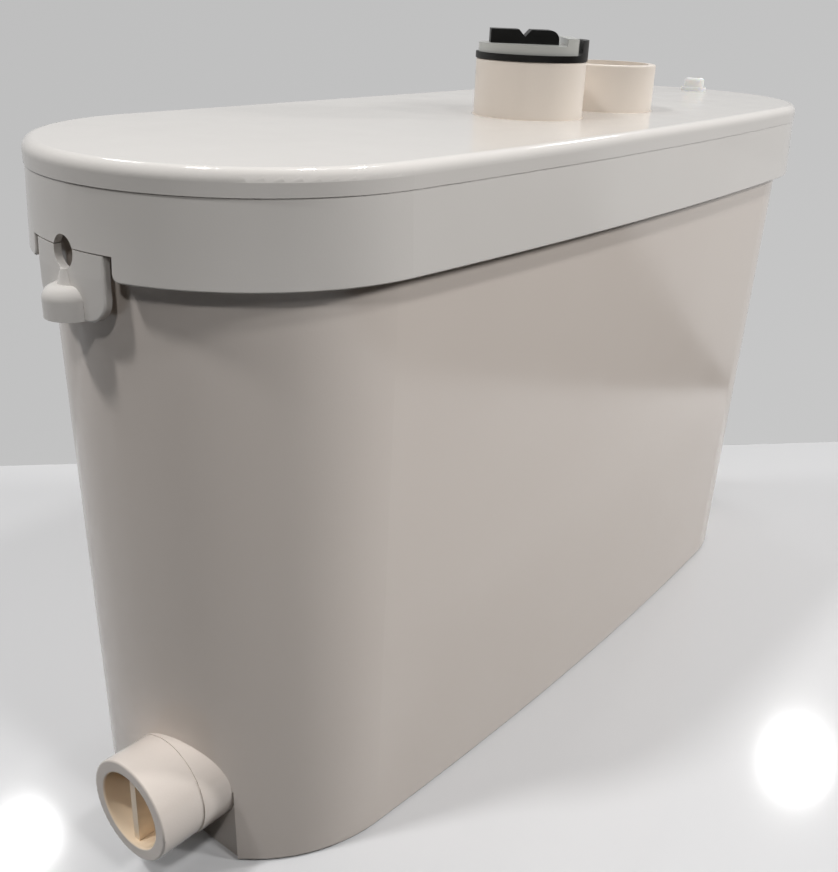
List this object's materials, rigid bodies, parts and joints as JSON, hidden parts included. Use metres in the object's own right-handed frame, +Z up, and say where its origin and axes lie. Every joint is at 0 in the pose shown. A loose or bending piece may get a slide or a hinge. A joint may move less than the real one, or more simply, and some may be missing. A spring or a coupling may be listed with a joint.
{
  "type": "sewage lifting unit",
  "caption": "Low box-shaped waste water lifting unit with a lift-off latched lid, side inlet stubs, two top spigots, and a submerged pump, valves and switchgear inside.",
  "frame": {"origin": "on the floor, under the middle of the lid's outline", "axes": "+X along the unit towards the cable gland, -Y towards the bowed front, +Z up"},
  "size_m": [0.458, 0.1559, 0.2949],
  "materials": {
    "lid_plastic": "moulded, light texture",
    "tank_plastic": "moulded, smooth",
    "spigot_plastic": "moulded",
    "plug_rubber": "moulded, satin",
    "plug_plastic": "moulded, satin",
    "gland_plastic": "moulded",
    "black_rubber": "moulded",
    "vent_media": "charcoal felt in a holder",
    "stainless": "turned and pressed",
    "pump_plastic": "glass filled, moulded",
    "pipe_plastic": "extruded",
    "cover_plastic": "moulded",
    "switch_plastic": "moulded",
    "box_plastic": "moulded",
    "capacitor_can": "drawn can",
    "motor_casing": "die cast",
    "lamination_steel": "stacked laminations",
    "copper_winding": "enamelled copper wire",
    "cable_jacket": "extruded"
  },
  "bodies": {
    "base": {"tank": "tank_plastic", "foot_pads": "black_rubber", "vent_filter": "vent_media", "left_inlet_seat": "pump_plastic", "right_inlet_seat": "pump_plastic", "left_flap_pin": "stainless", "right_flap_pin": "stainless", "pump_dampers": "black_rubber", "suction_strainer": "pump_plastic", "cutter_ring": "stainless", "suction_plate": "pump_plastic", "pump_volute": "pump_plastic", "seal_plate": "pump_plastic", "casing_screws": "stainless", "shaft_seal": "black_rubber", "lower_bearing": "stainless", "upper_bearing": "stainless", "motor_can": "motor_casing", "motor_end_bell": "motor_casing", "stator_core": "lamination_steel", "stator_winding": "copper_winding", "discharge_pipe": "pipe_plastic", "check_valve_body": "pipe_plastic", "check_valve_pin": "stainless", "riser_pipe": "pipe_plastic", "riser_sleeve": "black_rubber", "outlet_sleeve": "black_rubber", "sleeve_clamps": "stainless", "inner_cover": "cover_plastic", "inner_cover_screws": "stainless", "pipe_grommets": "black_rubber", "lead_grommet": "black_rubber", "dip_tube": "pipe_plastic", "pressure_switch": "switch_plastic", "capacitor": "capacitor_can", "capacitor_clip": "stainless", "terminal_box": "box_plastic", "terminal_box_cover": "box_plastic", "motor_lead": "cable_jacket"},
    "rotor": {"motor_shaft": "stainless", "rotor_core": "lamination_steel", "impeller": "pump_plastic", "cutter_blade": "stainless", "impeller_nut": "stainless"},
    "left_flap": {"left_inlet_flap": "black_rubber"},
    "right_flap": {"right_inlet_flap": "black_rubber"},
    "check_flap": {"check_valve_flap": "black_rubber"},
    "lid_assembly": {"lid": "lid_plastic", "lid_seal": "black_rubber", "discharge_spigot": "spigot_plastic", "top_inlet_spigot": "spigot_plastic", "spigot_seals": "black_rubber", "cable_gland": "gland_plastic", "gland_nut": "gland_plastic"},
    "left_latch": {"left_latch": "lid_plastic"},
    "right_latch": {"right_latch": "lid_plastic"},
    "discharge_plug": {"plug_body": "plug_rubber", "plug_plate": "plug_plastic", "plug_grip": "plug_plastic"}
  },
  "joints": [
    {"name": "rotor_spin", "type": "hinge", "parent": "base", "child": "rotor", "pos_m": [0.108, 0.0084, 0.1], "axis": [0, 0, 1], "continuous": true},
    {"name": "left_flap_swing", "type": "hinge", "parent": "base", "child": "left_flap", "pos_m": [-0.1835, -0.015, 0.0545], "axis": [0, -1, 0], "range_deg": [0, 40]},
    {"name": "right_flap_swing", "type": "hinge", "parent": "base", "child": "right_flap", "pos_m": [0.1835, -0.015, 0.0545], "axis": [0, 1, 0], "range_deg": [0, 40]},
    {"name": "check_flap_swing", "type": "hinge", "parent": "base", "child": "check_flap", "pos_m": [0.0125, -0.0166, 0.119], "axis": [0, 1, 0], "range_deg": [0, 60]},
    {"name": "lid_lift", "type": "slide", "parent": "base", "child": "lid_assembly", "axis": [0, 0, 1], "range_m": [0, 0.07]},
    {"name": "left_latch_spring", "type": "hinge", "parent": "lid_assembly", "child": "left_latch", "pos_m": [-0.2187, 0.0052, 0.2335], "axis": [0, 1, 0], "range_deg": [0, 8]},
    {"name": "right_latch_spring", "type": "hinge", "parent": "lid_assembly", "child": "right_latch", "pos_m": [0.2187, 0.0052, 0.2335], "axis": [0, -1, 0], "range_deg": [0, 8]},
    {"name": "plug_pull", "type": "slide", "parent": "lid_assembly", "child": "discharge_plug", "axis": [0, 0, 1], "range_m": [0, 0.03]}
  ]
}
